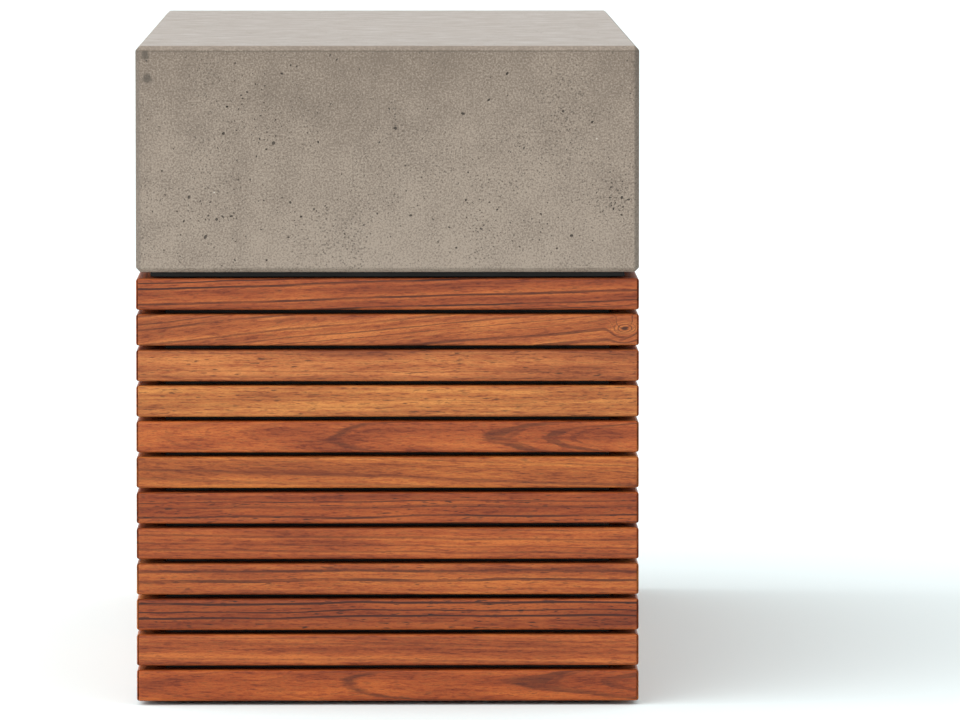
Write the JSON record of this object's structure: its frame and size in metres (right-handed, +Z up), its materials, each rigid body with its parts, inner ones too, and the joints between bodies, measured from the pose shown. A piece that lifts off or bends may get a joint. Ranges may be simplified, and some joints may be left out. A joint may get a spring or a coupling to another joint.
{
  "type": "garden bench",
  "caption": "Backless garden bench: hollow concrete seat block on a steel frame clad on all sides with mitred hardwood slats, on levelling feet.",
  "frame": {"origin": "on the ground, under the middle of the bench", "axes": "+Z up, Y along the bench, X across it; the end shown to a viewer faces -Y"},
  "size_m": [0.35, 0.85, 0.46],
  "materials": {
    "cast_concrete": "matte",
    "oiled_hardwood": "satin",
    "black_painted_steel": "matte",
    "black_rubber": "matte"
  },
  "bodies": {
    "root": {"bottom_ring": "black_painted_steel", "front_left_foot": "black_rubber", "front_left_post": "black_painted_steel", "front_right_foot": "black_rubber", "front_right_post": "black_painted_steel", "front_slat_01": "oiled_hardwood", "front_slat_02": "oiled_hardwood", "front_slat_03": "oiled_hardwood", "front_slat_04": "oiled_hardwood", "front_slat_05": "oiled_hardwood", "front_slat_06": "oiled_hardwood", "front_slat_07": "oiled_hardwood", "front_slat_08": "oiled_hardwood", "front_slat_09": "oiled_hardwood", "front_slat_10": "oiled_hardwood", "front_slat_11": "oiled_hardwood", "front_slat_12": "oiled_hardwood", "left_slat_01": "oiled_hardwood", "left_slat_02": "oiled_hardwood", "left_slat_03": "oiled_hardwood", "left_slat_04": "oiled_hardwood", "left_slat_05": "oiled_hardwood", "left_slat_06": "oiled_hardwood", "left_slat_07": "oiled_hardwood", "left_slat_08": "oiled_hardwood", "left_slat_09": "oiled_hardwood", "left_slat_10": "oiled_hardwood", "left_slat_11": "oiled_hardwood", "left_slat_12": "oiled_hardwood", "middle_hoop": "black_painted_steel", "rear_left_foot": "black_rubber", "rear_left_post": "black_painted_steel", "rear_right_foot": "black_rubber", "rear_right_post": "black_painted_steel", "rear_slat_01": "oiled_hardwood", "rear_slat_02": "oiled_hardwood", "rear_slat_03": "oiled_hardwood", "rear_slat_04": "oiled_hardwood", "rear_slat_05": "oiled_hardwood", "rear_slat_06": "oiled_hardwood", "rear_slat_07": "oiled_hardwood", "rear_slat_08": "oiled_hardwood", "rear_slat_09": "oiled_hardwood", "rear_slat_10": "oiled_hardwood", "rear_slat_11": "oiled_hardwood", "rear_slat_12": "oiled_hardwood", "right_slat_01": "oiled_hardwood", "right_slat_02": "oiled_hardwood", "right_slat_03": "oiled_hardwood", "right_slat_04": "oiled_hardwood", "right_slat_05": "oiled_hardwood", "right_slat_06": "oiled_hardwood", "right_slat_07": "oiled_hardwood", "right_slat_08": "oiled_hardwood", "right_slat_09": "oiled_hardwood", "right_slat_10": "oiled_hardwood", "right_slat_11": "oiled_hardwood", "right_slat_12": "oiled_hardwood", "seat_block": "cast_concrete", "top_ring": "black_painted_steel"}
  },
  "joints": []
}
